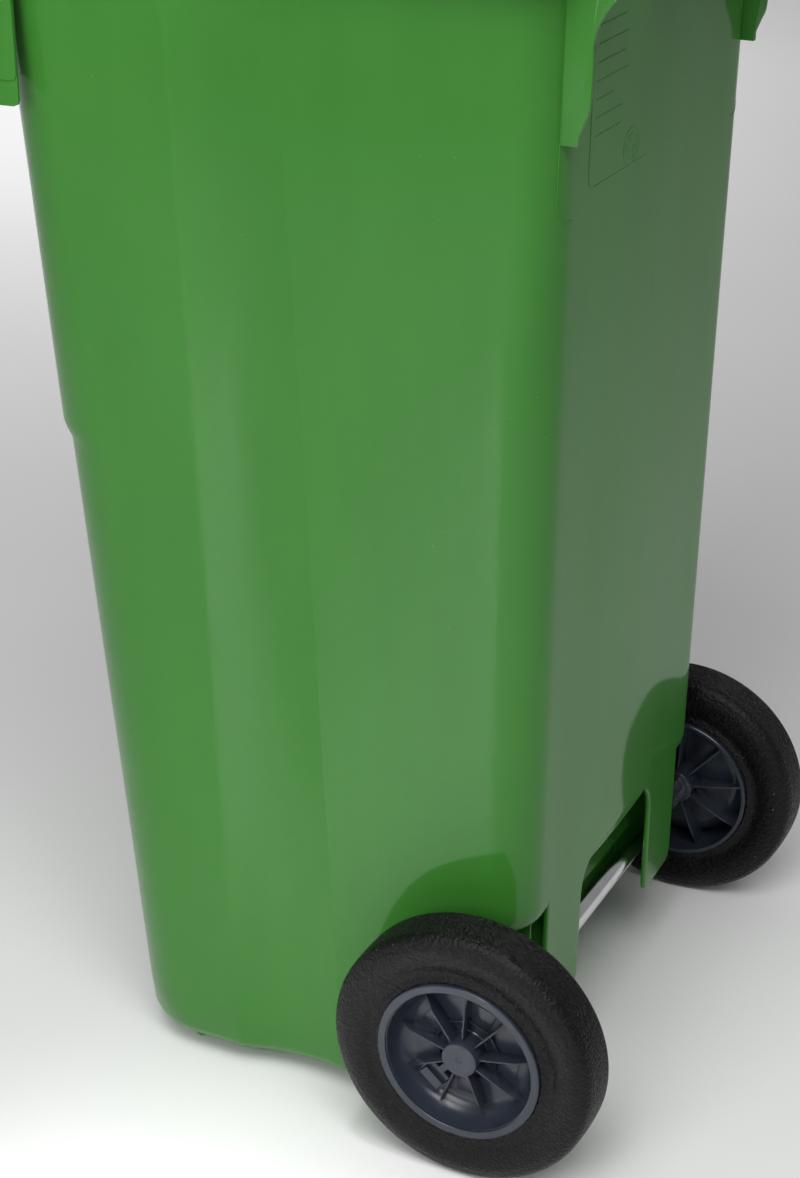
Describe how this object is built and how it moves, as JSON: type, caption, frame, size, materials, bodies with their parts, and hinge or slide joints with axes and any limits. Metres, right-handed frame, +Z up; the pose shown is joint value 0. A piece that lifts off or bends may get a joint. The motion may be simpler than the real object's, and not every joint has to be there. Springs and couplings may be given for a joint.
{
  "type": "wheelie bin",
  "caption": "Tall tapered refuse bin with a hinged domed lid, rear grip handles, a comb rim in front and rubber-tyred wheels on a steel axle.",
  "frame": {"origin": "on the ground, under the middle of the whole bin", "axes": "+X to the bin's right wheel as seen from the front-facing side of the frame, +Y towards the wheels and handles, +Z up"},
  "size_m": [0.479, 0.55, 0.935],
  "materials": {
    "body_plastic": "glossy moulded polyethylene, mid green",
    "lid_plastic": "glossy moulded polyethylene, mid green",
    "dark_plastic": "satin dark grey polyamide",
    "buffer_rubber": "matt black rubber",
    "axle_steel": "bright zinc-plated steel",
    "rim_plastic": "satin slate-blue grey polypropylene",
    "tyre_rubber": "pebbled black solid rubber"
  },
  "bodies": {
    "tub": {"body": "body_plastic", "axle": "axle_steel", "hinge_pin_left": "dark_plastic", "hinge_pin_right": "dark_plastic"},
    "cover": {"lid": "lid_plastic", "lid_buffer_front_left": "buffer_rubber", "lid_buffer_front_right": "buffer_rubber", "lid_buffer_rear_left": "buffer_rubber", "lid_buffer_rear_right": "buffer_rubber"},
    "wheel_left": {"rim_left": "rim_plastic", "tyre_left": "tyre_rubber"},
    "wheel_right": {"rim_right": "rim_plastic", "tyre_right": "tyre_rubber"},
    "latch_left": {"hub_latch_left": "rim_plastic"},
    "latch_right": {"hub_latch_right": "rim_plastic"}
  },
  "joints": [
    {"name": "lid_hinge", "type": "hinge", "parent": "tub", "child": "cover", "pos_m": [0, 0.258, 0.872], "axis": [-1, 0, 0], "range_deg": [0, 270]},
    {"name": "wheel_left_spin", "type": "hinge", "parent": "tub", "child": "wheel_left", "pos_m": [-0.21435, 0.13, 0.1], "axis": [-1, 0, 0], "continuous": true},
    {"name": "wheel_right_spin", "type": "hinge", "parent": "tub", "child": "wheel_right", "pos_m": [0.21435, 0.13, 0.1], "axis": [-1, 0, 0], "continuous": true},
    {"name": "latch_left_slide", "type": "slide", "parent": "wheel_left", "child": "latch_left", "axis": [0, -0.6691, -0.7431], "range_m": [0, 0.003], "stiffness_N_per_m": 400},
    {"name": "latch_right_slide", "type": "slide", "parent": "wheel_right", "child": "latch_right", "axis": [0, -0.6691, -0.7431], "range_m": [0, 0.003], "stiffness_N_per_m": 400}
  ]
}
